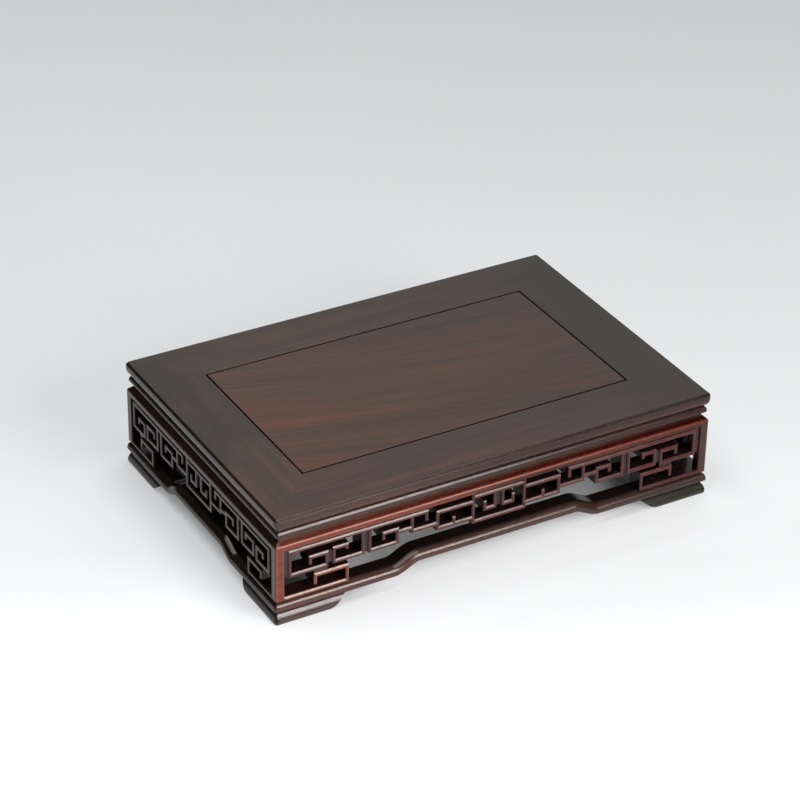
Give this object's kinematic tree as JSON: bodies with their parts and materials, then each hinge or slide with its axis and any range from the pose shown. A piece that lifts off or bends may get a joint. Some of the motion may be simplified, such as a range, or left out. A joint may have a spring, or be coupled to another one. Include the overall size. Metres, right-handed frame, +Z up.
{
  "type": "display stand",
  "caption": "Low rectangular hardwood display stand: framed and panelled top with a moulded edge, pierced key-fret aprons, humpback base rails and corner feet.",
  "frame": {"origin": "centre of the footprint, on the surface the feet stand on", "axes": "+X along the long side to the right, -Y towards the front of the picture, +Z up through the display face"},
  "size_m": [0.2012, 0.136, 0.048],
  "materials": {
    "frame_wood": "dark rosewood, waxed satin",
    "panel_wood": "reddish dark rosewood with straight grain, waxed satin",
    "fret_wood": "carved red-brown rosewood, waxed, rubbed arrises",
    "base_wood": "dark rosewood, waxed satin",
    "inner_wood": "plain sawn rosewood, unwaxed",
    "bamboo": "split bamboo, bare"
  },
  "bodies": {
    "root": {"top_rail_front": "frame_wood", "top_rail_back": "frame_wood", "top_rail_left": "frame_wood", "top_rail_right": "frame_wood", "top_panel": "panel_wood", "apron_front": "fret_wood", "apron_back": "fret_wood", "apron_left": "fret_wood", "apron_right": "fret_wood", "base_rail_front": "base_wood", "base_rail_back": "base_wood", "base_rail_left": "base_wood", "base_rail_right": "base_wood", "foot_front_left": "base_wood", "foot_front_right": "base_wood", "foot_back_left": "base_wood", "foot_back_right": "base_wood", "panel_batten": "inner_wood", "apron_corner_keys": "inner_wood", "base_corner_keys": "inner_wood", "apron_top_pegs": "bamboo", "corner_pegs": "bamboo", "foot_pegs": "bamboo"}
  },
  "joints": []
}
